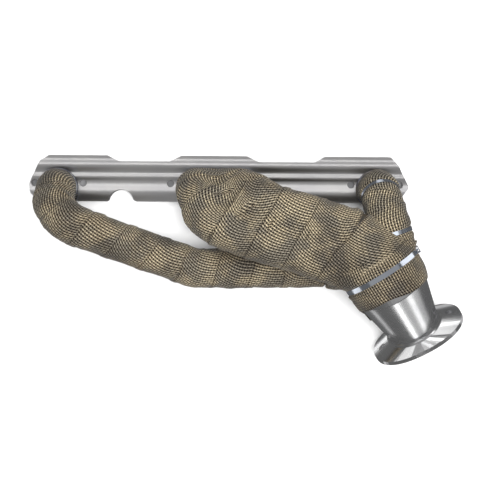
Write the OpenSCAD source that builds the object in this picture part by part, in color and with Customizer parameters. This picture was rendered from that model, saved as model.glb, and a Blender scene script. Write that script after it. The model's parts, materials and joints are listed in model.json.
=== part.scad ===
// Tubular four-port exhaust manifold, heat-wrapped, lying on its cylinder-head face.
// Frame: origin at the centre of the head face, which lies in z = 0 and faces -Z.
// +X runs along the head flange towards the outlet end, +Z points away from the head.

/* [Head flange] */
// Length over both ends
flange_l = 460; // [440:1:480]
// Height of the raised stretches
flange_h = 55; // [50:1:62]
// Thickness at the valleys of the ribbed outer face
flange_t = 8; // [7:0.5:8.5]
// Height of the ribs that run along the outer face
rib_h = 2.4; // [1:0.1:2.6]
// Distance from the centre to the outer ports
outer_port_x = 190; // [186:1:194]
// Distance from the centre to the inner ports
inner_port_x = 24; // [23.5:0.5:27]
// Diameter of the head bolt holes
bolt_d = 9; // [8:0.5:10.5]

/* [Primary tubes] */
// Outside diameter of a primary tube
tube_d = 41.3; // [38:0.1:42]
// Wall of the primary tubes
tube_wall = 1.6; // [1.2:0.1:2.2]
// Bend radius at the middle of the tube
bend_r = 40; // [38:0.5:41]

/* [Collector] */
// Outside diameter of the round part of the collector
collector_d = 86; // [82:1:90]
// Wall of the collector and the outlet cone
collector_wall = 2; // [1.5:0.1:3]
// Direction of the collector and outlet seen along Z, from +X
outlet_heading = -57; // [-60:0.5:-55]
// How far the collector's barrel points down towards the head face
barrel_dip = 10; // [8:1:12]
// How far the outlet points down towards the head face
outlet_dip = 24; // [22:1:26]
// Outside diameter of the outlet
outlet_d = 63.5; // [60:0.5:68]
// Length of the outlet cone, from the collector's barrel to the outlet flange
outlet_reach = 73; // [68:1:74]

/* [Outlet flange] */
// Half of its length
outlet_flange_u = 56; // [55:1:60]
// Half of its width
outlet_flange_v = 41; // [40:0.5:44]
// Thickness of its rim
outlet_flange_t = 5; // [4:0.5:8]
// Distance between its two bolt holes
outlet_bolts = 88; // [86:1:92]
// Diameter of its bolt holes
outlet_bolt_d = 8.5; // [8:0.5:10.5]
// How far it is turned round the outlet's axis
outlet_flange_roll = 10; // [0:1:12]

/* [Heat wrap and ties] */
// Thickness of the layer of heat-wrap tape
wrap_t = 2; // [1.5:0.1:2.5]
// Width of the narrow ties
tie_w = 4.6; // [4:0.1:6]
// Width of the collector tie
wide_tie_w = 5.6; // [5:0.1:8]
// Thickness of a tie's strap
tie_t = 0.6; // [0.4:0.1:0.8]

/* [Hidden] */

$fn = 48;
eps = 0.05;

port_y = -12;
bolt_y = -6;
ports = [[-outer_port_x, port_y], [-inner_port_x, port_y], [inner_port_x, port_y], [outer_port_x, port_y]];
bolt_xs = [-219, -161, -56, 56, 161, 219];

tube_r = tube_d / 2;
bore_r = tube_r - tube_wall;
wrap_r = tube_r + wrap_t;
collector_r = collector_d / 2;
outlet_r = outlet_d / 2;

// Height of the fillet welds round the ports, and where the wraps start above them
weld_h = 2.2;
weld_z = flange_t + rib_h + 0.2;
wrap_start_z = weld_z + weld_h + 0.2;

// Corner points of the tubes' centre lines, from each port to inside the collector
route_1 = [
    [-outer_port_x, port_y, 0], [-outer_port_x, port_y, 30], [-189, -49, 70], [-24, -107, 38], [150, -105, 38]
];
route_2 = [[-inner_port_x, port_y, 0], [-inner_port_x, port_y, 50], [-9, -56, 76], [165, -110, 78]];
route_3 = [[inner_port_x, port_y, 0], [inner_port_x, port_y, 56], [60, -31, 78], [172, -66, 78]];
route_4 = [[outer_port_x, port_y, 0], [outer_port_x, port_y, 46], [197, -52, 74], [213, -100, 74]];
routes = [route_1, route_2, route_3, route_4];

// Distance left to a route's end where its tube enters the collector
entry = 20;

// Middle of the collector's barrel, where its tie runs, and how far the barrel reaches each way
collector_at = [191, -111, 74];
barrel_back = 12;
barrel_front = 16;
// Length of the outlet's cylinder below its cone
outlet_neck = 14;
// Where the wrap ends along the outlet cone
wrap_end = 6;

// Facets round a tube, and steps along each of its bends
sides = 24;
bend_steps = 6;

steel = [0.72, 0.72, 0.73];
tape = [0.50, 0.43, 0.33];
tie_steel = [0.80, 0.82, 0.85];

// ---------- vectors and routes ----------

function unit(v) = v / norm(v);
function heading(route, i) = unit(route[i + 1] - route[i]);
function last(list) = list[len(list) - 1];
function end_way(route) = heading(route, len(route) - 2);
function turn(route, i) = acos(heading(route, i - 1) * heading(route, i));
function bend_side(route, i) = unit(heading(route, i) - heading(route, i - 1) * cos(turn(route, i)));

// The route cut short by a distance at its end
function shortened(route, by) = [
    for (i = [0:len(route) - 1]) i < len(route) - 1 ? route[i] : route[i] - by * end_way(route)
];

// The route begun at a height above its port
function begun_at(route, z) = [for (i = [0:len(route) - 1]) i > 0 ? route[i] : route[i] + [0, 0, z]];

// Points along the bend at a corner of a route, and the directions there
function bend_points(route, i) =
    let (a = turn(route, i), ahead = heading(route, i - 1), side = bend_side(route, i))
    let (start = route[i] - ahead * bend_r * tan(a / 2), centre = start + side * bend_r)
    [for (k = [0:bend_steps]) let (t = a * k / bend_steps)
        centre + bend_r * (ahead * sin(t) - side * cos(t))];
function bend_ways(route, i) =
    let (a = turn(route, i), ahead = heading(route, i - 1), side = bend_side(route, i))
    [for (k = [0:bend_steps]) let (t = a * k / bend_steps) ahead * cos(t) + side * sin(t)];

function line_points(route) = concat(
    [route[0]], [for (i = [1:len(route) - 2]) each bend_points(route, i)], [last(route)]
);
function line_ways(route) = concat(
    [heading(route, 0)], [for (i = [1:len(route) - 2]) each bend_ways(route, i)], [end_way(route)]
);

// Distance along the points up to each one
function lengths(points, i = 0, so_far = 0) =
    i == len(points) - 1 ? [so_far]
    : concat([so_far], lengths(points, i + 1, so_far + norm(points[i + 1] - points[i])));

// The value at a distance along, read between the points that have the given lengths
function read_at(values, along, s, i = 0) =
    i >= len(values) - 2 || s <= along[i + 1]
    ? values[i] + (values[i + 1] - values[i]) * (s - along[i]) / (along[i + 1] - along[i])
    : read_at(values, along, s, i + 1);

// Side vectors carried along the directions without twisting
function carried(side, way) = unit(side - way * (side * way));
function side_ways(ways, side, i = 0) =
    i == len(ways) ? [] : let (now = carried(side, ways[i])) concat([now], side_ways(ways, now, i + 1));

// Puts its children at a point, with their Z along a direction
module aim(at, way) {
    translate(at) rotate([0, acos(way[2] / norm(way)), atan2(way[1], way[0])]) children();
}

// Puts its children on the barrel's axis: Z along it, Y level, X down and back
module at_barrel(along = 0) {
    translate(collector_at) rotate([0, 90 + barrel_dip, outlet_heading]) translate([0, 0, along]) children();
}

// The same on the outlet's axis, which starts where the barrel ends
module at_outlet(along = 0) {
    at_barrel(barrel_front) rotate([0, outlet_dip - barrel_dip, 0]) translate([0, 0, along]) children();
}

// A closed skin between an outer and an inner stack of rings, all with the same number of points
module skin(outer, inner) {
    rings = len(outer);
    n = len(outer[0]);
    inside = rings * n;
    function at(i, j) = i * n + j % n;
    polyhedron(
        points = [for (ring = concat(outer, inner)) each ring],
        faces = concat(
            [for (i = [0:rings - 2]) for (j = [0:n - 1])
                [at(i, j), at(i + 1, j), at(i + 1, j + 1), at(i, j + 1)]],
            [for (i = [0:rings - 2]) for (j = [0:n - 1])
                [inside + at(i, j), inside + at(i, j + 1), inside + at(i + 1, j + 1), inside + at(i + 1, j)]],
            [for (j = [0:n - 1]) [at(0, j), at(0, j + 1), inside + at(0, j + 1), inside + at(0, j)]],
            let (end = rings - 1) [for (j = [0:n - 1])
                [at(end, j + 1), at(end, j), inside + at(end, j), inside + at(end, j + 1)]]
        )
    );
}

// Rings of points round each point of a route
function tube_rings(route, r) =
    let (points = line_points(route), ways = line_ways(route), across = side_ways(ways, [1, 0, 0]))
    [for (i = [0:len(points) - 1]) let (up = cross(ways[i], across[i]))
        [for (j = [0:sides - 1]) let (t = 360 * j / sides)
            points[i] + r * (across[i] * cos(t) + up * sin(t))]];

module hollow_run(route, outer, inner) {
    skin(tube_rings(route, outer), tube_rings(route, inner));
}

module ring(outer, inner) {
    difference() {
        circle(outer);
        circle(inner);
    }
}

// ---------- head flange ----------

// Height of the ribbed face above its valleys: three rounded ribs along X
function rib(y, middle, half) = abs(y - middle) < half ? pow(cos(90 * (y - middle) / half), 2) : 0;
function face_z(y) = flange_t + rib_h * (0.9 * rib(y, 15.5, 9) + 0.5 * rib(y, 1.8, 5.5) + rib(y, -17, 12.5));

module flange_profile() {
    polygon(concat(
        [[-flange_h / 2, 0]],
        [for (s = [0:1:60]) let (y = flange_h * (s / 60 - 0.5)) [y, face_z(y)]],
        [[flange_h / 2, 0]]
    ));
}

module flange_outline() {
    end = flange_l / 2;
    top = flange_h / 2;
    dip = top - 7;
    difference() {
        offset(r = 4) offset(delta = -4) offset(r = -5) offset(delta = 5)
            difference() {
                polygon([
                    [-end + 4, -7], [-end + 11, 8], [-end + 17, top - 7], [-end + 28, top],
                    [-132, top], [-118, dip], [-57, dip], [-43, top], [36, top], [50, dip],
                    [118, dip], [130, top], [209, top], [end - 12, 17], [end - 6, 5],
                    [end + 1, -9], [end - 9, -22], [end - 15, -top], [-end + 15, -top], [-end + 6, -18]
                ]);
                translate([-115, -top - 1]) circle(15);
            }
    }
}

module head_flange() {
    color(steel)
        difference() {
            intersection() {
                linear_extrude(flange_t + rib_h + 1) flange_outline();
                rotate([90, 0, 90]) translate([0, 0, -flange_l / 2 - 1])
                    linear_extrude(flange_l + 2) flange_profile();
            }
            for (p = ports) translate([p[0], p[1], -1]) cylinder(r = tube_r + eps, h = 20);
            for (x = bolt_xs) translate([x, bolt_y, -1]) cylinder(d = bolt_d, h = 20);
        }
}

// Fillet welds round the ports
module port_welds() {
    color(steel)
        for (p = ports) translate([p[0], p[1], weld_z])
            rotate_extrude()
                polygon([[tube_r + eps, 0], [tube_r + 3, 0], [tube_r + 1.6, 1.5], [tube_r + eps, weld_h]]);
}

// ---------- tubes ----------

module primary_tube(route) {
    color(steel) hollow_run(shortened(route, entry - 3), tube_r, bore_r);
}

module primary_tube_1() primary_tube(route_1);
module primary_tube_2() primary_tube(route_2);
module primary_tube_3() primary_tube(route_3);
module primary_tube_4() primary_tube(route_4);

// ---------- collector ----------

// Hull from a disc at the barrel to one facing along each tube. Inset moves the tubes' discs inwards,
// and past carries the barrel's disc beyond the chamber's end.
module chamber_form(barrel_radius, inlet_radius, inset = 0, past = 0) {
    hull() {
        at_barrel(-barrel_back - 1) cylinder(r = barrel_radius, h = 1 + past, $fn = 64);
        for (route = routes)
            aim(last(shortened(route, entry - inset)), end_way(route))
                cylinder(r = inlet_radius, h = 1, $fn = 32);
    }
}

// The barrel's form, from the chamber to a disc on the outlet's axis
module barrel_form(grow, reach, extra = 0) {
    hull() {
        at_barrel(-barrel_back - extra) cylinder(r = collector_r + grow, h = 1, $fn = 64);
        at_outlet(reach - 1 + extra) cylinder(r = collector_r + grow, h = 1, $fn = 64);
    }
}

module collector_chamber() {
    color(steel)
        difference() {
            chamber_form(collector_r, tube_r + 2);
            chamber_form(collector_r - collector_wall, tube_r - 1, collector_wall, 1);
            for (route = routes)
                aim(last(shortened(route, entry + 4)), end_way(route)) cylinder(r = tube_r + eps, h = 12);
        }
}

module collector_barrel() {
    color(steel)
        difference() {
            barrel_form(0, 0);
            barrel_form(-collector_wall, 0, 2);
        }
}

// Round cone and short neck from the chamber to the outlet flange
module outlet_cone() {
    top = collector_r;
    neck = outlet_reach - outlet_neck;
    end = outlet_reach + outlet_flange_t - 1;
    color(steel)
        at_outlet()
            rotate_extrude() polygon([
                [top - collector_wall, eps], [top, eps], [outlet_r, neck], [outlet_r, end],
                [outlet_r - collector_wall, end], [outlet_r - collector_wall, neck]
            ]);
}

module outlet_weld() {
    base = outlet_reach - 8;
    color(steel)
        at_outlet()
            rotate_extrude() polygon([
                [outlet_r + eps, base - 2.5], [outlet_r + 1.4, base - 1.6], [outlet_r + 2.4, base - eps],
                [outlet_r + eps, base - eps]
            ]);
}

// Points of an oval that is a little squarer than an ellipse, with half sizes v along x and u along y
oval_power = 2.25;
function power(x) = sign(x) * pow(abs(x), 2 / oval_power);
function oval(u, v, count = 72) =
    [for (k = [0:count - 1]) let (t = 360 * k / count) [v * power(cos(t)), u * power(sin(t))]];

// Oval rim, rising to a round boss under the cone
module outlet_flange() {
    color(steel)
        at_outlet(outlet_reach) rotate([0, 0, outlet_flange_roll])
            difference() {
                hull() {
                    linear_extrude(outlet_flange_t) polygon(oval(outlet_flange_u, outlet_flange_v));
                    translate([0, 0, -8]) cylinder(r = outlet_r + 3, h = 1, $fn = 72);
                }
                translate([0, 0, -12]) cylinder(r = outlet_r + eps, h = 24);
                for (side = [-1, 1])
                    translate([0, side * outlet_bolts / 2, -12]) cylinder(d = outlet_bolt_d, h = 24);
            }
}

// ---------- heat wrap ----------

module wrap_tube(route) {
    color(tape) hollow_run(begun_at(shortened(route, entry + 4), wrap_start_z), wrap_r, tube_r + eps);
}

module wrap_tube_1() wrap_tube(route_1);
module wrap_tube_4() wrap_tube(route_4);

// Oval rings round the two middle tubes, which share one wrap
pair_steps = 18;
function oval_rings(r) =
    let (
        a = begun_at(shortened(route_2, entry + 4), wrap_start_z),
        b = begun_at(shortened(route_3, entry + 4), wrap_start_z),
        a_points = line_points(a), b_points = line_points(b),
        a_ways = line_ways(a), b_ways = line_ways(b),
        a_along = lengths(a_points), b_along = lengths(b_points)
    )
    [for (k = [0:pair_steps]) let (
        s = last(a_along) * k / pair_steps, t = last(b_along) * k / pair_steps,
        p = read_at(a_points, a_along, s), q = read_at(b_points, b_along, t),
        ahead = read_at(a_ways, a_along, s) + read_at(b_ways, b_along, t),
        across = unit(q - p), up = unit(cross(ahead, across))
    )
        concat(
            [for (j = [0:sides / 2]) let (t = 90 + 360 * j / sides) p + r * (across * cos(t) + up * sin(t))],
            [for (j = [0:sides / 2]) let (t = 270 + 360 * j / sides) q + r * (across * cos(t) + up * sin(t))]
        )
    ];

module wrap_tubes_2_3() {
    color(tape) skin(oval_rings(wrap_r), oval_rings(tube_r + eps));
}

module wrap_chamber() {
    color(tape)
        difference() {
            chamber_form(collector_r + wrap_t, wrap_r + 2);
            chamber_form(collector_r + eps, tube_r + 2 + eps, -1, 1);
            for (route = routes)
                aim(last(shortened(route, entry + 8)), end_way(route)) cylinder(r = wrap_r + 0.5, h = 16);
        }
}

module wrap_collector() {
    color(tape)
        difference() {
            barrel_form(wrap_t, wrap_end);
            barrel_form(eps, wrap_end, 2);
        }
}

// ---------- ties ----------

// Where the ties sit: distance from the route's start, and the head's place round the tube
tie_1 = [route_1, 18, 60];
tie_4_upper = [route_4, 54, 320];
tie_4_lower = [route_4, 106, 20];
tie_2_3_z = wrap_start_z + 5;
tie_collector_along = -3;
tie_collector_tilt = 8;
tie_collector_head = 100;
head_l = 10;
head_h = 3.6;
ball_r = 1.4;

// Puts its children at a tie on a tube: Z along the tube, X outwards at the given angle
module at_tie(tie, turned = 0) {
    route = tie[0];
    points = line_points(route);
    along = lengths(points);
    aim(read_at(points, along, tie[1]), read_at(line_ways(route), along, tie[1]))
        rotate([0, 0, turned]) children();
}

// The same on the collector, where the strap lies slightly askew and so is a little wider
collector_tie_r = (collector_r + wrap_t) / cos(tie_collector_tilt);
module at_collector_tie(turned = 0) {
    at_barrel(tie_collector_along) rotate([0, -tie_collector_tilt, 0]) rotate([0, 0, turned]) children();
}

module strap(r, width) {
    translate([0, 0, -width / 2]) linear_extrude(width) ring(r + eps + tie_t, r + eps);
}

// Lock head on the outside of a strap at radius r: a hollow block with a window that shows its ball
module tie_head(r, width) {
    base = r + 2 * eps + tie_t;
    color(tie_steel)
        difference() {
            translate([base, -head_l / 2, -width / 2 - 1]) cube([head_h, head_l, width + 2]);
            translate([base + 0.7, -head_l / 2 - 1, -width / 2]) cube([head_h - 1.4, head_l + 2, width]);
            translate([base, 1, 0]) rotate([0, 90, 0]) cylinder(r = ball_r - 0.3, h = 10);
        }
}

module tie_ball(r) {
    translate([r + 2 * eps + tie_t + head_h - 0.9 - ball_r, 1, 0]) sphere(ball_r, $fn = 24);
}

// Oval strap round the two middle tubes
module pair_outline(r) {
    polygon(concat(
        [for (j = [0:24]) let (t = 90 + 7.5 * j) [-inner_port_x + r * cos(t), r * sin(t)]],
        [for (j = [0:24]) let (t = 270 + 7.5 * j) [inner_port_x + r * cos(t), r * sin(t)]]
    ));
}

module tie_strap_tube_1() color(tie_steel) at_tie(tie_1) strap(wrap_r, tie_w);
module tie_strap_tube_4_upper() color(tie_steel) at_tie(tie_4_upper) strap(wrap_r, tie_w);
module tie_strap_tube_4_lower() color(tie_steel) at_tie(tie_4_lower) strap(wrap_r, tie_w);
module tie_strap_collector() color(tie_steel) at_collector_tie() strap(collector_tie_r, wide_tie_w);
module tie_strap_tubes_2_3() {
    color(tie_steel)
        translate([0, port_y, tie_2_3_z - tie_w / 2])
            linear_extrude(tie_w)
                difference() {
                    pair_outline(wrap_r + eps + tie_t);
                    pair_outline(wrap_r + eps);
                }
}

module tie_head_tube_1() at_tie(tie_1, tie_1[2]) tie_head(wrap_r, tie_w);
module tie_head_tube_4_upper() at_tie(tie_4_upper, tie_4_upper[2]) tie_head(wrap_r, tie_w);
module tie_head_tube_4_lower() at_tie(tie_4_lower, tie_4_lower[2]) tie_head(wrap_r, tie_w);
module tie_head_collector() at_collector_tie(tie_collector_head) tie_head(collector_tie_r, wide_tie_w);
module tie_head_tubes_2_3() translate([0, port_y, tie_2_3_z]) rotate([0, 0, -90]) tie_head(wrap_r, tie_w);

module tie_balls() {
    color(tie_steel) {
        for (tie = [tie_1, tie_4_upper, tie_4_lower]) at_tie(tie, tie[2]) tie_ball(wrap_r);
        at_collector_tie(tie_collector_head) tie_ball(collector_tie_r);
        translate([0, port_y, tie_2_3_z]) rotate([0, 0, -90]) tie_ball(wrap_r);
    }
}

head_flange();
port_welds();
primary_tube_1();
primary_tube_2();
primary_tube_3();
primary_tube_4();
collector_chamber();
collector_barrel();
outlet_cone();
outlet_weld();
outlet_flange();
wrap_tube_1();
wrap_tubes_2_3();
wrap_tube_4();
wrap_chamber();
wrap_collector();
tie_strap_tube_1();
tie_strap_tubes_2_3();
tie_strap_tube_4_upper();
tie_strap_tube_4_lower();
tie_strap_collector();
tie_head_tube_1();
tie_head_tubes_2_3();
tie_head_tube_4_upper();
tie_head_tube_4_lower();
tie_head_collector();
tie_balls();
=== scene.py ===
import json
import math

import bmesh
import bpy
import numpy as np
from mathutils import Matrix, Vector
from mathutils.bvhtree import BVHTree


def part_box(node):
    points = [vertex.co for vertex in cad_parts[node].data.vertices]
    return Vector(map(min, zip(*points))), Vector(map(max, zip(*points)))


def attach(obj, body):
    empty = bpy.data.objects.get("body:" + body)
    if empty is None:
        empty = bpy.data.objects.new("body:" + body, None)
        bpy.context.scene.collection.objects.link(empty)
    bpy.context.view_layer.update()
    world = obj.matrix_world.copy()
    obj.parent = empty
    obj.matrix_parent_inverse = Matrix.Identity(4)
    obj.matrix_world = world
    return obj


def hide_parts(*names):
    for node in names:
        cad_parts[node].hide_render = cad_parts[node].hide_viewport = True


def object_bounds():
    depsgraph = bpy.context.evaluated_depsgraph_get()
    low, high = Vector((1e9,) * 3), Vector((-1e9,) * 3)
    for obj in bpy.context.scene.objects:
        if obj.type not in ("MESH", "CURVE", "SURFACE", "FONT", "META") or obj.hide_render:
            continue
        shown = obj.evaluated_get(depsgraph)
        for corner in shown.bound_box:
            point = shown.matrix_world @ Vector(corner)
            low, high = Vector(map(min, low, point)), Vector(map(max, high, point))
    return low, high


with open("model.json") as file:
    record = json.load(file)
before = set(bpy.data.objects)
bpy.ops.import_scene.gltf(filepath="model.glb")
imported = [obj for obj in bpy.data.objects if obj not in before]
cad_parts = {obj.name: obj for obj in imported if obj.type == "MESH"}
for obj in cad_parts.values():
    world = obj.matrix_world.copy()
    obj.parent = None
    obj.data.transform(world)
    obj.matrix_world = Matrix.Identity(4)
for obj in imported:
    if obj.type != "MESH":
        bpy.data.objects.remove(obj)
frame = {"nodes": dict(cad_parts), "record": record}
nodes = frame["nodes"]
cad_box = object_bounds()

MM = 0.001

# ---------- camera ----------


def make_camera():
    """Looks straight down on the manifold, which lies on its head face."""
    data = bpy.data.cameras.new("camera")
    data.sensor_width = 36
    data.lens = 72
    data.clip_end = 20
    camera = bpy.data.objects.new("camera", data)
    camera.location = (0.0402, -0.0852, 1.21)
    camera.rotation_euler = (0, 0, math.radians(0.4))
    bpy.context.scene.collection.objects.link(camera)
    bpy.context.scene.camera = camera


make_camera()

# ---------- materials ----------


class Nodes:
    """A new material and its node tree, with short calls for the nodes used below."""

    def __init__(self, name):
        self.material = bpy.data.materials.new(name)
        self.material.use_nodes = True
        self.tree = self.material.node_tree
        self.shader = self.tree.nodes["Principled BSDF"]

    def add(self, kind, **settings):
        made = self.tree.nodes.new("ShaderNode" + kind)
        for key, value in settings.items():
            setattr(made, key, value)
        return made

    def link(self, source, target):
        self.tree.links.new(source, target)

    def put(self, socket, value):
        """Links a socket to another, or sets its value."""
        if isinstance(value, bpy.types.NodeSocket):
            self.link(value, socket)
        else:
            socket.default_value = value

    def math(self, operation, a, b=0.0, c=0.0):
        made = self.add("Math", operation=operation)
        for socket, value in zip(made.inputs, (a, b, c)):
            self.put(socket, value)
        return made.outputs[0]

    def between(self, value, low, high, to_low=0.0, to_high=1.0):
        """Goes smoothly from to_low to to_high as the value goes from low to high."""
        made = self.add("MapRange", interpolation_type="SMOOTHSTEP")
        for socket, item in zip(made.inputs, (value, low, high, to_low, to_high)):
            self.put(socket, item)
        return made.outputs[0]

    def noise(self, place, scale, detail=3.0, rough=0.5):
        made = self.add("TexNoise")
        self.link(place, made.inputs["Vector"])
        made.inputs["Scale"].default_value = scale
        made.inputs["Detail"].default_value = detail
        made.inputs["Roughness"].default_value = rough
        return made.outputs["Fac"]

    def stretched(self, place, scale):
        made = self.add("Mapping")
        self.link(place, made.inputs["Vector"])
        made.inputs["Scale"].default_value = scale
        return made.outputs["Vector"]

    def mix(self, factor, a, b, blend="MIX"):
        made = self.add("Mix", data_type="RGBA", blend_type=blend)
        self.put(made.inputs[0], factor)
        self.put(made.inputs[6], a)
        self.put(made.inputs[7], b)
        return made.outputs[2]

    def ramp(self, factor, stops):
        made = self.add("ValToRGB")
        points = made.color_ramp.elements
        while len(points) < len(stops):
            points.new(0.5)
        for point, (place, colour) in zip(points, stops):
            point.position = place
            point.color = (*colour, 1)
        self.link(factor, made.inputs[0])
        return made.outputs["Color"]

    def bump(self, height, strength, distance):
        made = self.add("Bump")
        made.inputs["Strength"].default_value = strength
        made.inputs["Distance"].default_value = distance
        self.link(height, made.inputs["Height"])
        self.link(made.outputs["Normal"], self.shader.inputs["Normal"])

    def set(self, **values):
        """Sets or links the shader's own sockets, named with _ for a space."""
        for key, value in values.items():
            self.put(self.shader.inputs[key.replace("_", " ")], value)


# The tape's thread spacing, and how many threads lie side by side in its width
THREAD = 3.0 * MM
THREADS = 17


def tape_material():
    """Coarse plain weave. The map counts threads: U along the tape, V across it.
    It shades nearly the same weave as weave_height raises on the mesh, and paints shade into its gaps."""
    n = Nodes("heat_tape")
    place = n.add("TexCoord").outputs["Object"]
    uv = n.add("UVMap", uv_map="threads").outputs["UV"]
    split = n.add("SeparateXYZ")
    n.link(uv, split.inputs[0])
    u, v = split.outputs["X"], split.outputs["Y"]
    cos_u = n.math("COSINE", n.math("MULTIPLY", u, math.pi))
    cos_v = n.math("COSINE", n.math("MULTIPLY", v, math.pi))
    across = n.math("MULTIPLY", cos_u, cos_u)
    along = n.math("MULTIPLY", cos_v, cos_v)
    over = n.math("MULTIPLY", cos_u, cos_v)
    warp = n.math("MULTIPLY", along, n.math("MULTIPLY_ADD", over, 0.20, 0.57))
    weft = n.math("MULTIPLY", across, n.math("MULTIPLY_ADD", over, -0.20, 0.76))
    top = n.math("MAXIMUM", warp, weft)
    strands = n.noise(n.stretched(uv, (9, 9, 9)), 1.0, 2.0, 0.7)
    lit = n.math("ADD", top, n.math("MULTIPLY_ADD", strands, 0.36, -0.18))
    # painted shade: the ramp turns the low gaps between the threads nearly black, and the raised threads
    # tan
    cloth_and_gap_shade = n.ramp(lit, [
        (0.14, (0.005, 0.004, 0.003)),
        (0.38, (0.027, 0.022, 0.017)),
        (0.60, (0.146, 0.124, 0.090)),
        (0.86, (0.470, 0.418, 0.320)),
    ])
    patches = n.between(n.noise(place, 34.0, 3.0, 0.6), 0.38, 0.62)
    faded = n.mix(patches, (0.62, 0.63, 0.67, 1), (1.17, 1.13, 1.04, 1))
    soot = n.between(n.noise(place, 13.0, 4.0, 0.65), 0.45, 0.66, 0.0, 0.62)
    worn = n.mix(soot, (1.06, 1.06, 1.04, 1), (0.44, 0.41, 0.40, 1))
    # heat has darkened the tape towards the outlet
    axes = n.add("SeparateXYZ")
    n.link(place, axes.inputs[0])
    hot = n.between(n.math("SUBTRACT", axes.outputs["X"], axes.outputs["Y"]), 0.20, 0.31)
    heated = n.mix(hot, (1.11, 1.10, 1.08, 1), (0.80, 0.78, 0.77, 1))
    # painted shade: the tape is darker along both its edges, where its turns overlap and the seams lie in
    # shadow
    inwards = n.math("MINIMUM", v, n.math("SUBTRACT", float(THREADS), v))
    seam_shade = n.mix(n.between(inwards, 0.1, 1.1), (0.66, 0.64, 0.62, 1), (1, 1, 1, 1))
    colour = n.mix(1.0, n.mix(1.0, cloth_and_gap_shade, faded, "MULTIPLY"), worn, "MULTIPLY")
    colour = n.mix(1.0, n.mix(1.0, colour, seam_shade, "MULTIPLY"), heated, "MULTIPLY")
    n.set(Base_Color=colour, Roughness=n.between(top, 0.2, 0.9, 0.85, 0.55))
    n.set(Specular_IOR_Level=0.35, Sheen_Weight=0.12, Sheen_Roughness=0.5)
    n.bump(lit, 0.6, 0.35 * MM)
    return n.material


def steel_material(name, colour, roughness, grain, depth, spread):
    """Steel with a fine grain, drawn out into lines along an axis whose grain scale is small.
    Its roughness varies by the spread, and depth is that of the grain."""
    n = Nodes(name)
    place = n.add("TexCoord").outputs["Object"]
    lines = n.noise(n.stretched(place, grain), 1.0, 4.0, 0.65)
    clouds = n.noise(place, 22.0, 3.0, 0.5)
    shade = n.mix(n.between(clouds, 0.3, 0.7), (0.93, 0.93, 0.94, 1), (1.03, 1.03, 1.02, 1))
    n.set(Base_Color=n.mix(1.0, (*colour, 1), shade, "MULTIPLY"), Metallic=1.0)
    n.set(Roughness=n.between(lines, 0.25, 0.75, roughness - spread, roughness + spread))
    n.bump(lines, 0.25, depth)
    return n.material


def tinted_material(name, colour, tint, roughness):
    """Steel that heat has coloured in clouds."""
    n = Nodes(name)
    place = n.add("TexCoord").outputs["Object"]
    clouds = n.noise(place, 60.0, 4.0, 0.6)
    n.set(Base_Color=n.mix(n.between(clouds, 0.35, 0.65), (*colour, 1), (*tint, 1)), Metallic=1.0)
    n.set(Roughness=n.between(clouds, 0.2, 0.8, roughness - 0.08, roughness + 0.1))
    n.bump(n.noise(place, 900.0, 2.0, 0.5), 0.2, 0.06 * MM)
    return n.material


TAPE = tape_material()
FLANGE_STEEL = steel_material(
    "flange_steel", (0.70, 0.69, 0.69), 0.37, (10, 500, 500), 0.002 * MM, 0.02)
OUTLET_STEEL = steel_material("outlet_steel", (0.80, 0.80, 0.81), 0.17, (80, 80, 80), 0.001 * MM, 0.02)
CONE_STEEL = steel_material("cone_steel", (0.80, 0.80, 0.81), 0.25, (80, 80, 80), 0.001 * MM, 0.02)
TIE_STEEL = steel_material("tie_steel", (0.72, 0.77, 0.86), 0.16, (90, 90, 90), 0.02 * MM, 0.05)
TUBE_STEEL = tinted_material("tube_steel", (0.46, 0.43, 0.40), (0.34, 0.27, 0.21), 0.36)
WELD_STEEL = tinted_material("weld_steel", (0.50, 0.46, 0.42), (0.30, 0.31, 0.40), 0.34)


def paint(obj, material):
    obj.data.materials.clear()
    obj.data.materials.append(material)


# ---------- axes and skins ----------

# The tubes' routes, as in the CAD model, and the bend radius of their centre lines, in mm
BEND = 40
ROUTE_1 = [(-190, -12, 0), (-190, -12, 30), (-189, -49, 70), (-24, -107, 38), (150, -105, 38)]
ROUTE_2 = [(-24, -12, 0), (-24, -12, 50), (-9, -56, 76), (165, -110, 78)]
ROUTE_3 = [(24, -12, 0), (24, -12, 56), (60, -31, 78), (172, -66, 78)]
ROUTE_4 = [(190, -12, 0), (190, -12, 46), (197, -52, 74), (213, -100, 74)]
# The tape that holds the middle tubes and the collector follows the middle of both, then the collector
MAIN_ROUTE = [(0, -12, 0), (0, -12, 51), (25, -44, 77), (176, -90, 78), (217, -151, 62)]
MAIN_BENDS = [40, 40, 75]
TUBE_R = 20.65 * MM
# How many columns a skin has round its axis, and how many points an arc of a route has
ROUND = 96
ARC_POINTS = 24


def unit(v):
    return v / np.linalg.norm(v, axis=-1, keepdims=True)


def smooth(x):
    x = np.clip(x, 0, 1)
    return x * x * (3 - 2 * x)


def centre_line(route, bends, step):
    """Points a step apart along straight runs joined by arcs, in metres."""
    corners = np.array(route, float) * MM
    points = [corners[:1]]
    for before, corner, after, bend in zip(corners, corners[1:], corners[2:], bends):
        ahead = unit(corner - before)
        away = unit(after - corner)
        turn = math.acos(np.clip(ahead @ away, -1, 1))
        start = corner - ahead * bend * MM * math.tan(turn / 2)
        side = unit(away - ahead * math.cos(turn))
        t = np.linspace(0, turn, ARC_POINTS)[:, None]
        points.append(start + bend * MM * (ahead * np.sin(t) + side * (1 - np.cos(t))))
    points.append(corners[-1:])
    points = np.concatenate(points)
    along = np.concatenate([[0], np.cumsum(np.linalg.norm(np.diff(points, axis=0), axis=1))])
    want = np.arange(0, along[-1], step)
    return np.stack([np.interp(want, along, points[:, k]) for k in range(3)], 1)


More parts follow.
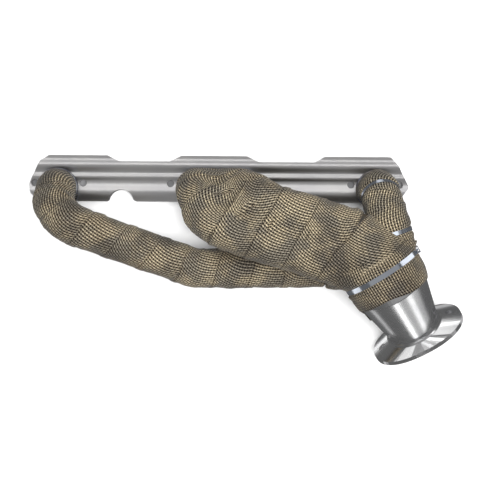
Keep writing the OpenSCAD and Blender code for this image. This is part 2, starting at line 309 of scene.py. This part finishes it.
def axis_frames(line):
    """Two directions across a line at each of its points, which don't twist along it."""
    ways = unit(np.gradient(line, axis=0))
    across = np.zeros_like(line)
    side = np.array([1.0, 0, 0])
    for i, way in enumerate(ways):
        side = unit(side - way * (side @ way))
        across[i] = side
    return across, np.cross(ways, across)


def blurred(grid, sigma_along, sigma_round):
    """A Gaussian blur of a grid that closes on itself the second way."""
    def kernel(sigma):
        reach = int(3 * sigma) + 1
        k = np.exp(-0.5 * (np.arange(-reach, reach + 1) / sigma) ** 2)
        return k / k.sum(), reach
    k, reach = kernel(sigma_along)
    padded = np.pad(grid, ((reach, reach), (0, 0)), mode="edge")
    out = sum(w * padded[i:i + len(grid)] for i, w in enumerate(k))
    k, reach = kernel(sigma_round)
    return sum(w * np.roll(out, i - reach, axis=1) for i, w in enumerate(k))


class Skin:
    """A surface round an axis: row i is a place along it and column j an angle round it.
    along is the length down each column and outer the longest of them at each row. around is the
    surface's length per radian round the axis, and sag how far the tape dips below the surface."""

    def __init__(self, line, radius):
        across, up = axis_frames(line)
        angle = np.arange(ROUND) * 2 * math.pi / ROUND
        spoke = across[:, None] * np.cos(angle)[:, None] + up[:, None] * np.sin(angle)[:, None]
        self.spoke = spoke
        self.place = line[:, None] + spoke * radius[..., None]
        down_line = np.gradient(self.place, axis=0)
        round_line = (np.roll(self.place, -1, 1) - np.roll(self.place, 1, 1)) * ROUND / (4 * math.pi)
        self.normal = unit(np.cross(round_line, down_line))
        self.around = np.linalg.norm(round_line, axis=-1)
        steps = np.linalg.norm(np.diff(self.place, axis=0), axis=-1)
        self.along = np.concatenate([np.zeros((1, ROUND)), np.cumsum(steps, 0)])
        self.sag = np.zeros_like(self.along)
        self.rows = len(line)
        self.outer = self.along.max(1)
        # the row at every fine step of length down each column
        self.fine = 0.5 * MM
        samples = np.arange(0, self.outer[-1], self.fine)
        rows = np.arange(self.rows)
        self.row_at = np.stack([np.interp(samples, self.along[:, j], rows) for j in range(ROUND)], 1)

    def read(self, grid, row, angle):
        """Reads a grid between its rows and columns."""
        row = np.clip(row, 0, len(grid) - 1.001)
        column = (angle / (2 * math.pi) * ROUND) % ROUND
        i, j = row.astype(int), column.astype(int) % ROUND
        a, b = row - i, column - column.astype(int)
        k = (j + 1) % ROUND
        if grid.ndim == 3:
            a, b = a[..., None], b[..., None]
        low = grid[i, j] * (1 - b) + grid[i, k] * b
        high = grid[i + 1, j] * (1 - b) + grid[i + 1, k] * b
        return low * (1 - a) + high * a

    def row_for(self, length, angle):
        """The row at a length down the surface."""
        return self.read(self.row_at, length / self.fine, angle)


# How far past its end a tube's skin is carried on, in mm
SKIN_EXTRA = 10


def tube_skin(route):
    """The skin of one primary tube, carried on a little past its end."""
    end = np.array(route[-1], float)
    last = unit(end - np.array(route[-2], float))
    line = centre_line([*route[:-1], tuple(end + last * SKIN_EXTRA)], [BEND] * 3, 1 * MM)
    return Skin(line, np.full((len(line), ROUND), TUBE_R))


def distance_to_line(places, line):
    """The distance from each place to the nearest of a line's points."""
    flat = places.reshape(-1, 3)
    best = np.full(len(flat), 1e9)
    for point in line:
        best = np.minimum(best, ((flat - point) ** 2).sum(1))
    return np.sqrt(best).reshape(places.shape[:-1])


def surfaces(*names):
    """Trees for casting rays at the named CAD nodes."""
    trees = []
    for name in names:
        mesh = nodes[name].data
        corners = [v.co.copy() for v in mesh.vertices]
        trees.append(BVHTree.FromPolygons(corners, [tuple(p.vertices) for p in mesh.polygons]))
    return trees


# The step past one crossing before the ray goes on, in metres
PAST_HIT = 1e-5


def crossings(trees, start, way, limit):
    """Distances at which a ray crosses the surfaces, nearest first."""
    found = []
    for tree in trees:
        reach = 0.0
        while reach < limit:
            hit = tree.ray_cast(start + way * reach, way, limit - reach)
            if hit[0] is None:
                break
            reach += hit[3] + PAST_HIT
            found.append(reach)
    return sorted(found)


# Past this X the middle axis runs in the merge chamber
CHAMBER_X = 118 * MM
# How far rays look for the wraps, in the chamber and before it, and for bare steel
CHAMBER_REACH = 66 * MM
TUBES_REACH = 90 * MM
CONE_REACH = 60 * MM
# Crossings nearer together than this belong to the same wrap
WRAP_WALL = 6 * MM
# The middle skin's rows are this far apart
MAIN_STEP = 1.5 * MM
# Rows where the sag between the middle tubes begins and ends, and over how many it fades
SAG_FIRST, SAG_FIRST_FADE = 16, 14
SAG_LAST, SAG_LAST_FADE = 138, 30
DEEPEST_SAG = 11 * MM
# Shares of the gap to the tubes, and of the room over the steel, that the sag may take
SAG_OF_GAP = 0.85
SAG_OF_ROOM = 0.7
# The skin lies this far inside the wraps' outside, but at least so far off the steel, and past the
# wraps' end it starts from this thickness of wrap
SKIN_INSIDE = 1.6 * MM
SKIN_OFF_STEEL = 0.4 * MM
WRAP_ON_CONE = 2 * MM


def measure_middle(line):
    """Distances from the middle axis, for each place on it and direction round it: to the outside of the
    CAD wraps (NaN where there are none) and to the outside of the steel (0 where there is none)."""
    across, up = axis_frames(line)
    wraps = surfaces("wrap_tubes_2_3", "wrap_chamber", "wrap_collector")
    steel = surfaces(
        "primary_tube_2", "primary_tube_3", "collector_chamber", "collector_barrel", "outlet_cone")
    radius = np.full((len(line), ROUND), np.nan)
    core = np.zeros_like(radius)
    for i, centre in enumerate(line):
        in_chamber = centre[0] > CHAMBER_X
        reach = CHAMBER_REACH if in_chamber else TUBES_REACH
        for j in range(ROUND):
            t = 2 * math.pi * j / ROUND
            spoke = Vector(across[i] * math.cos(t) + up[i] * math.sin(t))
            hits = crossings(wraps, Vector(centre), spoke, reach)
            if hits:
                outside = hits[0]
                for h in hits:
                    if in_chamber or h - outside < WRAP_WALL:
                        outside = h
                radius[i, j] = outside
            limit = outside + 4 * MM if hits else CONE_REACH
            under = crossings(steel, Vector(centre), spoke, limit)
            core[i, j] = under[-1] if under else 0.0
    return radius, core


def main_skin():
    """The skin of the middle tubes and collector: just inside the outside of the CAD wraps, bridged
    where they step, and carried on over the outlet cone."""
    line = centre_line(MAIN_ROUTE, MAIN_BENDS, MAIN_STEP)
    radius, core = measure_middle(line)
    radius = np.where(np.isnan(radius) & (core > 0), core + WRAP_ON_CONE, radius)
    # rows and directions that met nothing take the nearest row's value
    for j in range(ROUND):
        known = ~np.isnan(radius[:, j])
        radius[:, j] = np.interp(np.arange(len(line)), np.flatnonzero(known), radius[known, j])
    # steps and gaps are bridged: where the blurred skin stands farther out, it is taken
    for softness in (4.0, 3.0, 2.0):
        radius = np.maximum(radius, blurred(radius, softness, softness / 2))
    radius = blurred(radius, 1.2, 0.8) - SKIN_INSIDE
    radius = np.maximum(radius, core + SKIN_OFF_STEEL)
    skin = Skin(line, radius)
    # the tape sags where the skin bridges the gap between the two tubes, as far as there is room
    pair = [centre_line(r, [BEND] * 3, 3 * MM) for r in (ROUTE_2, ROUTE_3)]
    gap = np.minimum(*[distance_to_line(skin.place, p) for p in pair]) - TUBE_R
    rows = np.arange(len(line))[:, None]
    fade = smooth((rows - SAG_FIRST) / SAG_FIRST_FADE) * smooth((SAG_LAST - rows) / SAG_LAST_FADE)
    sag = np.clip(gap * SAG_OF_GAP, 0, DEEPEST_SAG) * fade
    room = np.maximum((radius - core) * SAG_OF_ROOM - 0.3 * MM, 0)
    skin.sag = np.minimum(blurred(np.minimum(sag, room), 2.0, 2.0), room)
    return skin


# ---------- tape ----------

TAPE_W = THREADS * THREAD
TAPE_T = 1.1 * MM
# The first layer's underside stands about this far off the skin
LIFT = 0.5 * MM
PITCH = 42 * MM
# Where the wraps start, above the head face
WRAP_START = 13 * MM
# Height of the threads over their gaps, and points per thread along the tape and across it
WEAVE = 0.42 * MM
PER_THREAD_U = 3
PER_THREAD_V = 3
# The underside has only every twelfth point across
UNDER_STEP = 12
# Which way round the skin's angles the tape goes
HAND = -1
# Turns on the spot at each end, if nothing else is said, and samples of the path in each turn
FLAT_TURNS = 0.8
TURN_SAMPLES = 360
# The climb is averaged over this part of a turn to either side, so that it begins and ends softly
CLIMB_EASE = 0.12
# A bend is shorter inside than outside, so the slope takes this share of the outer climb
CLIMB_SHARE = 0.8
# How many turns before the end its lean and its ragged edge begin, over how many they come in, and
# how long and deep the ragged edge's waves are
LEAN_FROM, LEAN_OVER = 1.6, 1.2
RAGGED_FROM, RAGGED_OVER = 0.9, 0.3
RAGGED_WAVE, RAGGED_DEPTH = 0.045, 2.2 * MM
# Earlier turns that may lie underneath, how many of them lift the tape at most, the share of its
# thickness that each keeps, and the width over which the tape steps up on to their edges
EARLIER_TURNS = (1, 2, 3)
MOST_LAYERS = 2.2
PRESSED = 0.95
LAYER_STEP = 3.0 * MM
# How far the tape's middle stands proud of its edges, and the width of its rounded edges
PUFF = 0.9 * MM
EDGE_ROUND = 1.3 * MM
# Under a strap the tape's top stands at most this high. Beside it the top may rise, gently over the
# shoulder and then steeply, out to the end of the zone. Points past the reach are another tube's.
UNDER_STRAP = 1.55 * MM
STRAP_SHOULDER = 3 * MM
STRAP_ZONE = 8 * MM
STRAP_REACH = 75 * MM


def ties():
    """(middle, axis, half width) of each strap, read from its CAD node."""
    found = {}
    for name in nodes:
        if name.startswith("tie_strap"):
            points = np.array([v.co for v in nodes[name].data.vertices])
            low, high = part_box(name)
            middle = (np.array(low) + np.array(high)) / 2
            # a strap spreads least along its own axis
            _, axes = np.linalg.eigh(np.cov((points - middle).T))
            normal = axes[:, 0]
            reach = np.abs((points - middle) @ normal).max()
            found[name] = (middle, normal, reach)
    return found


TIES = ties()


def wobble(places, seed, size, amount):
    """A smooth unevenness made of a few waves, about as long as size and as high as amount."""
    rng = np.random.default_rng(seed)
    total = np.zeros(places.shape[:-1])
    for _ in range(7):
        way = rng.normal(size=3)
        way = way / np.linalg.norm(way) * 2 * math.pi / (size * rng.uniform(0.7, 1.5))
        total += np.sin(places @ way + rng.uniform(0, 7))
    # 2.6 is about the root of the number of waves
    return total * amount / 2.6


def weave_height(u, v):
    """Height of the cloth over its gaps, from 0 to 1, at thread counts u and v."""
    cu, cv = np.cos(math.pi * u), np.cos(math.pi * v)
    warp = cv * cv * (0.56 + 0.20 * cu * cv)
    weft = cu * cu * (0.80 - 0.20 * cu * cv)
    return np.maximum(warp, weft)


def climb_at(fine, turns_up):
    """How far a winding has climbed, from 0 to 1, at each of its turn counts."""
    climb = np.clip((fine - FLAT_TURNS) / turns_up, 0, 1)
    ease = int(CLIMB_EASE * TURN_SAMPLES)
    kernel = np.ones(2 * ease + 1) / (2 * ease + 1)
    return np.convolve(np.pad(climb, ease, mode="edge"), kernel, mode="valid")


def layers_below(skin, path, turn, angle, around, centre_len, offset):
    """How many earlier turns lie under each point of the tape. The path is turn counts and their rows."""
    fine, row_fine = path
    layers = np.zeros_like(angle)
    for back in EARLIER_TURNS:
        earlier = np.interp(turn - back, fine, row_fine)[:, None]
        advance = centre_len - skin.read(skin.along, earlier + 0 * angle, angle)
        margin = TAPE_W / 2 - (offset[None] + advance)
        begun = smooth((turn[:, None] - back) * 2 * math.pi * around[:, None] / LAYER_STEP)
        layers += smooth(margin / LAYER_STEP + 0.5) * begun
    return np.minimum(layers, MOST_LAYERS)


def held_down(top, place, strap_names):
    """The heights of the tape's top, held down under each strap and beside it."""
    for name in strap_names:
        tie_middle, tie_way, tie_half = TIES[name]
        away = np.abs((place - tie_middle) @ tie_way) - tie_half
        limit = UNDER_STRAP + 0.5 * np.maximum(away, 0) + 2.0 * np.maximum(away - STRAP_SHOULDER, 0)
        near = np.linalg.norm(place - tie_middle, axis=-1) < STRAP_REACH
        top = np.where(near & (away < STRAP_ZONE), np.minimum(top, limit), top)
    return top


def thread_counts(u, v, turn, seed):
    """The count along the tape at each of its points. The cross threads lean and bow a little
    differently in each turn."""
    over = v[None] / THREADS - 0.5
    lean = (-1.2 + 2.9 * np.sin(2.3 * turn + seed))[:, None]
    bow = (2.2 + 1.0 * np.sin(2.7 * turn + 2 * seed))[:, None]
    return u[:, None] + lean * over + bow * (1 - 4 * over * over)


def wind(skin, begin, finish, phase, strap_names, seed, flat_end=FLAT_TURNS, end_lean=0.0):
    """Rows of points along a tape that is wound round a skin from one outer length to another.
    The last turns lean by a length, back on top and forward underneath.
    Returns the tape's top and bottom points, its thread numbers both ways, and its thread counts."""
    # the path of the tape's middle: how many turns, and how far along the skin
    half = TAPE_W / 2
    rise = finish - begin - TAPE_W
    turns_up = max(1, round(rise / PITCH))
    total = FLAT_TURNS + turns_up + flat_end
    fine = np.linspace(0, total, int(total * TURN_SAMPLES))
    centre_out = begin + half + climb_at(fine, turns_up) * rise
    row_fine = np.interp(centre_out, skin.outer, np.arange(skin.rows))
    angle_fine = phase + HAND * 2 * math.pi * fine
    middle = skin.read(skin.place, row_fine, angle_fine)
    length = np.concatenate([[0], np.cumsum(np.linalg.norm(np.diff(middle, axis=0), axis=1))])
    count = int(length[-1] / (THREAD / PER_THREAD_U))
    count -= count % PER_THREAD_U
    u = np.arange(count + 1) / PER_THREAD_U
    turn = np.interp(u * THREAD, length, fine)
    row_c = np.interp(turn, fine, row_fine)
    # how steeply the tape climbs, from its advance and the way round
    around = skin.read(skin.around, row_c, phase + HAND * 2 * math.pi * turn)
    outer_rate = np.interp(turn, fine, np.gradient(centre_out, fine))
    slope = np.arctan2(CLIMB_SHARE * outer_rate, around * 2 * math.pi)
    # the places on the skin under each point across the tape
    v = np.arange(THREADS * PER_THREAD_V + 1) / PER_THREAD_V
    offset = v * THREAD - half
    turn2, row2 = turn[:, None], row_c[:, None]
    turned_back = offset[None] * np.sin(slope)[:, None] / around[:, None]
    angle = phase + HAND * (2 * math.pi * turn2 - turned_back)
    centre_len = skin.read(skin.along, row2 + 0 * angle, angle)
    target = centre_len + offset[None] * np.cos(slope)[:, None]
    centre = skin.read(skin.place, row2 + 0 * angle, angle)
    leaning = smooth((turn2 - total + LEAN_FROM) / LEAN_OVER) * end_lean
    upwards = skin.read(skin.spoke, row2 + 0 * angle, angle)[..., 2]
    begun = smooth((turn2 - total + RAGGED_FROM) / RAGGED_OVER)
    ragged = begun * wobble(centre, seed + 4, RAGGED_WAVE, RAGGED_DEPTH)
    target = target - leaning * upwards + ragged
    row = skin.row_for(np.maximum(target, 0), angle)
    place = skin.read(skin.place, row, angle)
    normal = unit(skin.read(skin.normal, row, angle))
    # heights over the skin: of the underside first, then of the top
    layers = layers_below(skin, (fine, row_fine), turn, angle, around, centre_len, offset)
    across_shape = np.cos(math.pi * offset / TAPE_W)[None] ** 2
    sag = skin.read(skin.sag, row, angle) * (0.25 + 0.75 * across_shape)
    edge = smooth((half - np.abs(offset)) / EDGE_ROUND)[None]
    uneven = wobble(place, seed, 0.030, 0.45 * MM) + wobble(place, seed + 9, 0.012, 0.20 * MM)
    puff = PUFF * across_shape + uneven
    base = LIFT + layers * TAPE_T * PRESSED + puff - sag
    top = held_down(base + TAPE_T, place, strap_names)
    base = np.minimum(base, top - 0.5 * MM)
    counts = thread_counts(u, v, turn, seed)
    shown = top + WEAVE * (weave_height(counts, v[None]) - 0.75) - (1 - edge) * 0.5 * MM
    # the strip keeps some thickness everywhere, and its underside stays off the steel
    base = np.maximum(np.minimum(base, shown - 0.25 * MM), 0.1 * MM - sag)
    shown = np.maximum(shown, base + 0.15 * MM)
    return place + normal * shown[..., None], place + normal * base[..., None], u, v, counts


def turn_faces_out(mesh):
    """Turns every face of a mesh outwards."""
    bm = bmesh.new()
    bm.from_mesh(mesh)
    bmesh.ops.recalc_face_normals(bm, faces=bm.faces)
    bm.to_mesh(mesh)
    bm.free()


def tape_piece(name, wound, replaced, first=0.0, last=1.0):
    """A closed strip of tape from part of a winding's rows, between two shares of its length."""
    top, bottom, u, v, counts = wound
    a, b = int(first * (len(u) - 1)), int(last * (len(u) - 1))
    top, bottom, u, counts = top[a:b + 1], bottom[a:b + 1], u[a:b + 1], counts[a:b + 1]
    rows, wide = top.shape[:2]
    under = [*range(0, wide - 1, UNDER_STEP), wide - 1]
    n_under = len(under)
    points = np.concatenate([top.reshape(-1, 3), bottom[:, under].reshape(-1, 3)])
    ids = np.arange(rows * wide).reshape(rows, wide)
    low = rows * wide + np.arange(rows * n_under).reshape(rows, n_under)

    def quads(grid, flip):
        q = [grid[:-1, :-1], grid[1:, :-1], grid[1:, 1:], grid[:-1, 1:]]
        if flip:
            q.reverse()
        return np.stack([x.ravel() for x in q], 1)

    faces = quads(ids, True).tolist() + quads(low, False).tolist()
    left = [[ids[i, 0], ids[i + 1, 0], low[i + 1, 0], low[i, 0]] for i in range(rows - 1)]
    right = [[ids[i + 1, -1], ids[i, -1], low[i, -1], low[i + 1, -1]] for i in range(rows - 1)]
    caps = [list(ids[0][::-1]) + list(low[0]), list(ids[-1]) + list(low[-1][::-1])]
    faces += left + right + caps
    mesh = bpy.data.meshes.new(name)
    mesh.from_pydata(points.tolist(), [], [[int(i) for i in f] for f in faces])
    threads = np.stack([counts, np.broadcast_to(v, counts.shape)], -1)
    threads = np.concatenate([threads.reshape(-1, 2), threads[:, under].reshape(-1, 2)])
    layer = mesh.uv_layers.new(name="threads")
    loop_points = np.zeros(len(mesh.loops), int)
    mesh.loops.foreach_get("vertex_index", loop_points)
    layer.data.foreach_set("uv", threads[loop_points].ravel())
    mesh.polygons.foreach_set("use_smooth", np.ones(len(mesh.polygons), bool))
    mesh.update()
    piece = bpy.data.objects.new(name, mesh)
    bpy.context.scene.collection.objects.link(piece)
    turn_faces_out(mesh)
    paint(piece, TAPE)
    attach(piece, "root")
    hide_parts(*replaced)


# Lengths of the skins of tube 1, of tube 4 and of the middle that stay free of tape at their far ends
FREE_1 = 32 * MM
FREE_4 = 26 * MM
FREE_MAIN = 14 * MM
# The share of the middle winding's length at which its two named pieces meet
SPLIT = 0.55

skin_1 = tube_skin(ROUTE_1)
end_1 = skin_1.outer[-1] - FREE_1
wound_1 = wind(skin_1, WRAP_START, end_1, phase=2.2, strap_names=("tie_strap_tube_1",), seed=3)
tape_piece("tape_tube_1", wound_1, ["wrap_tube_1"])

skin_4 = tube_skin(ROUTE_4)
end_4 = skin_4.outer[-1] - FREE_4
wound_4 = wind(skin_4, WRAP_START, end_4, phase=3.6,
               strap_names=("tie_strap_tube_4_upper", "tie_strap_tube_4_lower"), seed=5)
tape_piece("tape_tube_4", wound_4, ["wrap_tube_4"])

skin_main = main_skin()
end_main = skin_main.outer[-1] - FREE_MAIN
wound_main = wind(skin_main, WRAP_START, end_main, phase=0.5, flat_end=0.6, end_lean=16 * MM,
                  strap_names=("tie_strap_tubes_2_3", "tie_strap_collector"), seed=8)
tape_piece("tape_tubes_2_3", wound_main, ["wrap_tubes_2_3"],
           last=SPLIT)
tape_piece("tape_collector", wound_main, ["wrap_chamber", "wrap_collector"],
           first=SPLIT)

# ---------- steel ----------

# Edges that turn by more degrees than these are shaded sharp, or are rounded by a bevel
SHARP_ANGLE = 32
ROUNDED_ANGLE = 50


def smooth_node(name):
    """Shades a CAD node smooth, with its sharp edges kept."""
    mesh = nodes[name].data
    mesh.polygons.foreach_set("use_smooth", np.ones(len(mesh.polygons), bool))
    mesh.set_sharp_from_angle(angle=math.radians(SHARP_ANGLE))


def edge_round(name, width):
    """Rounds the sharp edges of a CAD node."""
    bevel = nodes[name].modifiers.new("edge", "BEVEL")
    bevel.width = width
    bevel.segments = 2
    bevel.limit_method = "ANGLE"
    bevel.angle_limit = math.radians(ROUNDED_ANGLE)
    bevel.harden_normals = True


STEEL_OF = {
    "head_flange": FLANGE_STEEL,
    "outlet_cone": CONE_STEEL,
    "outlet_flange": OUTLET_STEEL,
    "collector_barrel": CONE_STEEL,
    "port_welds": WELD_STEEL,
    "outlet_weld": CONE_STEEL,
}

for node_name, node in nodes.items():
    if node_name.startswith("wrap_"):
        continue
    if node_name.startswith("tie_"):
        paint(node, TIE_STEEL)
    else:
        paint(node, STEEL_OF.get(node_name, TUBE_STEEL))
    smooth_node(node_name)
edge_round("outlet_flange", 1.4 * MM)

# ---------- floor and light ----------

# The floor is a square with this half width, in metres, and lies this far below the head face
FLOOR_REACH = 1.5
FLOOR_DEPTH = 0.3 * MM
# Radius of the discs of painted shade under the bolt holes, which are a little wider than the holes, and
# their depth
HOLE_SHADE_R = 6 * MM
HOLE_SHADE_DEPTH = 0.2 * MM


def make_floor():
    """A plain pale floor, just under the head face."""
    mesh = bpy.data.meshes.new("floor")
    reach = FLOOR_REACH
    mesh.from_pydata([(-reach, -reach, 0), (reach, -reach, 0), (reach, reach, 0), (-reach, reach, 0)],
                     [], [(0, 1, 2, 3)])
    floor = bpy.data.objects.new("floor", mesh)
    floor.location.z = cad_box[0].z - FLOOR_DEPTH
    bpy.context.scene.collection.objects.link(floor)
    n = Nodes("floor")
    place = n.add("TexCoord").outputs["Object"]
    n.set(Base_Color=n.mix(n.noise(place, 3.0), (0.90, 0.90, 0.90, 1), (0.93, 0.93, 0.93, 1)))
    n.set(Roughness=0.9, Specular_IOR_Level=0.1)
    paint(floor, n.material)
    floor.visible_glossy = False
    floor.visible_diffuse = False
    floor.visible_shadow = False
    return floor


def make_hole_shades():
    """Grey discs of painted shade just above the floor, under the head flange's bolt holes, where little
    light reaches.
    """
    points = []
    faces = []
    sides = 16
    for mount in frame["record"]["mounts"]:
        if not mount["name"].startswith("head_bolts"):
            continue
        x, y, z = mount["pos_m"]
        for side in (-0.5, 0.5):
            centre = x + side * mount["dims"]["spacing_x_mm"] * MM
            first = len(points)
            for k in range(sides):
                t = 2 * math.pi * k / sides
                points.append((centre + HOLE_SHADE_R * math.cos(t), y + HOLE_SHADE_R * math.sin(t),
                               z - HOLE_SHADE_DEPTH))
            faces.append(tuple(range(first, first + sides)))
    mesh = bpy.data.meshes.new("hole_shades")
    mesh.from_pydata(points, [], faces)
    shades = bpy.data.objects.new("hole_shades", mesh)
    bpy.context.scene.collection.objects.link(shades)
    n = Nodes("hole_shade")
    place = n.add("TexCoord").outputs["Object"]
    n.set(Base_Color=n.mix(n.noise(place, 40.0), (0.22, 0.22, 0.23, 1), (0.30, 0.30, 0.30, 1)))
    n.set(Roughness=0.9, Specular_IOR_Level=0.1)
    paint(shades, n.material)


def soft_light(name, azimuth, elevation, distance, width, height, power, shiny=True):
    """A soft box that faces the manifold. Azimuth 0 is towards +X and 90 towards +Y, and a soft box
    that isn't shiny isn't seen in reflections. Sizes and distance are in metres, power in watts."""
    data = bpy.data.lights.new(name, "AREA")
    data.shape = "RECTANGLE"
    data.size = width
    data.size_y = height
    data.energy = power
    light = bpy.data.objects.new(name, data)
    a, e = math.radians(azimuth), math.radians(elevation)
    way = Vector((math.cos(a) * math.cos(e), math.sin(a) * math.cos(e), math.sin(e)))
    middle = (cad_box[0] + cad_box[1]) / 2
    light.location = middle + way * distance
    light.rotation_euler = way.to_track_quat("Z", "Y").to_euler()
    light.visible_camera = False
    light.visible_glossy = shiny
    bpy.context.scene.collection.objects.link(light)
    return light


def only_for(name, objects, lights):
    """Makes these lights fall on these objects alone. The name is the new collection's."""
    lit = bpy.data.collections.new(name)
    for obj in objects:
        lit.objects.link(obj)
    for light in lights:
        light.light_linking.receiver_collection = lit


def make_world():
    """A dim white sky, which the camera sees as plain white."""
    world = bpy.data.worlds.new("studio")
    world.use_nodes = True
    tree = world.node_tree
    shade = tree.nodes["Background"]
    shade.inputs["Color"].default_value = (1.0, 1.0, 1.0, 1)
    shade.inputs["Strength"].default_value = 0.13
    white = tree.nodes.new("ShaderNodeBackground")
    white.inputs["Color"].default_value = (1, 1, 1, 1)
    white.inputs["Strength"].default_value = 1.0
    path = tree.nodes.new("ShaderNodeLightPath")
    mix = tree.nodes.new("ShaderNodeMixShader")
    tree.links.new(path.outputs["Is Camera Ray"], mix.inputs[0])
    tree.links.new(shade.outputs[0], mix.inputs[1])
    tree.links.new(white.outputs[0], mix.inputs[2])
    tree.links.new(mix.outputs[0], tree.nodes["World Output"].inputs["Surface"])
    bpy.context.scene.world = world


floor_plane = make_floor()
make_hole_shades()
make_world()
# lights for the whole manifold
soft_light("key", -20, 78, 2.4, 1.2, 1.2, 54, shiny=False)
soft_light("side_front", -60, 12, 2.6, 2.4, 1.0, 9, shiny=False)
soft_light("side_back", 120, 12, 2.6, 2.4, 1.0, 7, shiny=False)
soft_light("fill", 90, 88, 2.6, 5.0, 5.0, 76, shiny=False)
soft_light("ceiling", 90, 89, 2.5, 5.0, 5.0, 16)
soft_light("crest_strip", 90, 56, 2.1, 3.4, 0.42, 9)
# a wide light that only the floor takes, so that its faint outer shadow goes white
floor_light = soft_light("floor_light", 90, 89, 2.6, 5.0, 5.0, 40, shiny=False)
only_for("lit_floor", [floor_plane], [floor_light])
# cards that the cone shows as stripes, from its left to its right
soft_light("cone_left", -110, -31, 2.2, 0.80, 0.42, 0.65)
soft_light("cone_strip", -66, 11, 2.0, 0.36, 0.9, 1.9)
soft_light("cone_front", -38, 4, 2.3, 2.2, 1.1, 3.2)
soft_light("cone_line", -34, 8, 2.0, 0.40, 0.7, 0.9)
# a low card behind the manifold
soft_light("flange_end", 90, -5, 2.2, 0.9, 0.35, 1.0)
# cards that only the outlet flange takes, for the fan of light on its back and for its open face
flange_cards = [
    soft_light("flange_left", 158, 36, 2.0, 0.9, 1.4, 3.1),
    soft_light("flange_ray", 126, 71, 2.0, 0.34, 0.34, 0.6),
    soft_light("flange_right", 94, 8, 2.0, 0.7, 2.0, 4.3),
    soft_light("flange_far", 82, -58, 2.2, 0.9, 0.7, 0.8),
    soft_light("flange_tip", 143, -54, 2.2, 0.7, 0.5, 1.2),
    soft_light("outlet_face", -13, -35, 2.0, 1.6, 1.2, 2.6),
]
only_for("lit_outlet", [nodes["outlet_flange"]], flange_cards)
# cards that only the head flange takes, for its top when it is seen from its corners
head_cards = [
    soft_light("head_near", -45, 18, 2.6, 3.0, 1.0, 4.5),
    soft_light("head_far", 135, 24, 2.6, 3.0, 1.0, 4.5),
]
only_for("lit_head", [nodes["head_flange"]], head_cards)
# cards that only the ties take, for the ends of the straps
tie_cards = [
    soft_light("tie_right", 33, 6, 2.0, 0.9, 2.2, 7.5),
    soft_light("tie_left", -147, -14, 2.2, 0.9, 1.4, 3.8),
]
only_for("lit_ties", [node for name, node in nodes.items() if name.startswith("tie_")], tie_cards)
tie_top = soft_light("tie_top", 18, 76, 2.0, 1.0, 1.2, 3.2)
only_for("lit_lower_tie", [nodes["tie_strap_tube_4_lower"]], [tie_top])
bpy.context.scene.view_settings.view_transform = "Standard"
